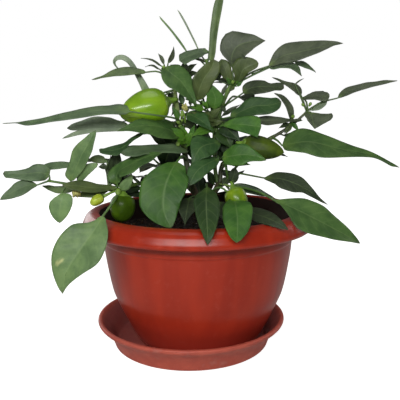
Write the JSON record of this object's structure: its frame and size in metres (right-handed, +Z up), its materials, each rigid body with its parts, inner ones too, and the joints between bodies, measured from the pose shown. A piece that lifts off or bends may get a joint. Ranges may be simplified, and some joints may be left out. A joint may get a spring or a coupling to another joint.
{
  "type": "potted chilli pepper plant",
  "caption": "Bushy chilli pepper plant with pointed leaves and hanging fruits, growing in soil in a round tapered pot with a rolled collar, on a shallow round saucer.",
  "frame": {"origin": "centre of the saucer's underside, on the surface the part stands on", "axes": "+Z up, -Y towards the front as pictured, +X to the right of that view"},
  "size_m": [0.3742, 0.2436, 0.36],
  "materials": {
    "saucer_plastic": "satin moulded terracotta-coloured plastic",
    "pot_plastic": "semi-gloss moulded terracotta-coloured plastic",
    "potting_soil": "dark crumbly potting soil",
    "woody_stem": "green-brown ridged stem",
    "foliage": "waxy dark green leaves and lighter green stems",
    "green_fruit": "glossy light green fruit skin",
    "dark_fruit": "glossy dark green fruit skin",
    "yellow_fruit": "glossy yellow-green fruit skin",
    "olive_fruit": "glossy olive green fruit skin",
    "dried_flower": "dry papery petals"
  },
  "bodies": {
    "root": {"saucer": "saucer_plastic", "pot": "pot_plastic", "soil": "potting_soil", "main_stem": "woody_stem", "left_branch": "foliage", "middle_left": "foliage", "top_left": "foliage", "top": "foliage", "right_top": "foliage", "right_branch": "foliage", "lower_right": "foliage", "front": "foliage", "back_left": "foliage", "back_right": "foliage", "back_low": "foliage", "fruit_large_green": "green_fruit", "fruit_low_green": "dark_fruit", "fruit_small_young": "yellow_fruit", "fruit_yellow_green": "yellow_fruit", "fruit_olive": "olive_fruit", "spent_flower_top": "dried_flower"}
  },
  "joints": []
}
